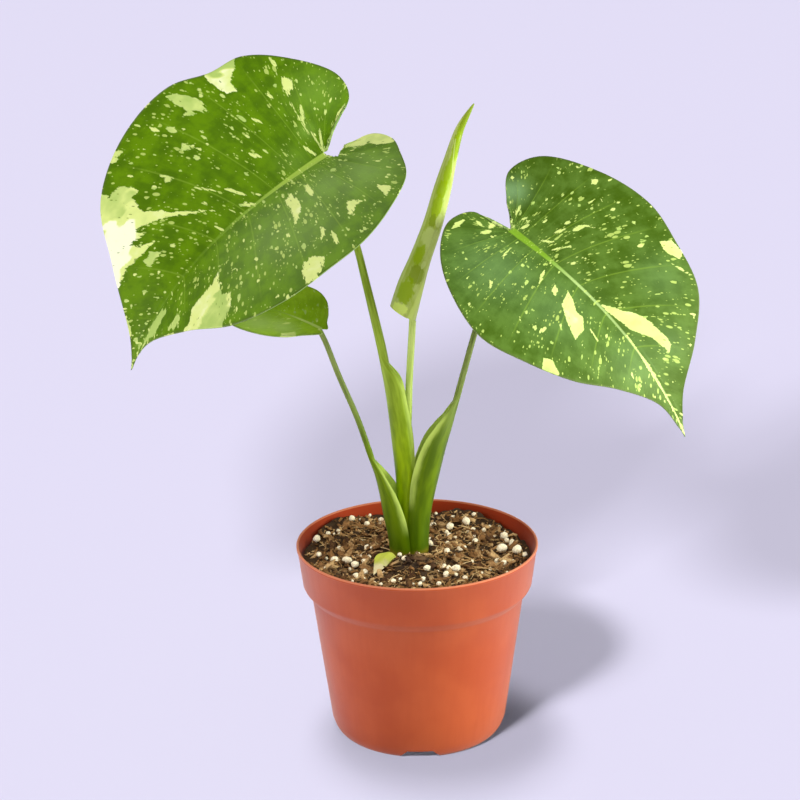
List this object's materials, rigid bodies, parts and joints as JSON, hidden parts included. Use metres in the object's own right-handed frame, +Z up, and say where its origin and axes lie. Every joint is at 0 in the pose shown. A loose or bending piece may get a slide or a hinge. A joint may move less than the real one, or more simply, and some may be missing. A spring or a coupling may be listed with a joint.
{
  "type": "potted thai constellation monstera",
  "caption": "Young variegated monstera with open leaves and a rolled new leaf, in a round tapered nursery pot of potting mix that stands on its notched foot.",
  "frame": {"origin": "on the standing surface, under the middle of the bounding box", "axes": "+Z up along the pot's axis, -Y towards the viewer, +X to the viewer's right"},
  "size_m": [0.2794, 0.145, 0.334],
  "materials": {
    "pot_plastic": "satin",
    "potting_mix": "matte",
    "stem": "matte",
    "stalk": "satin",
    "leaf": "satin",
    "new_leaf": "satin",
    "dried_scale": "matte"
  },
  "bodies": {
    "root": {"pot": "pot_plastic", "soil": "potting_mix", "stem_base": "stem", "leaf_large_petiole": "stalk", "leaf_right_petiole": "stalk", "leaf_small_petiole": "stalk", "leaf_rolled_petiole": "stalk", "leaf_large_blade": "leaf", "leaf_right_blade": "leaf", "leaf_small_blade": "leaf", "leaf_rolled_blade": "new_leaf", "scale_leaf": "dried_scale"}
  },
  "joints": []
}
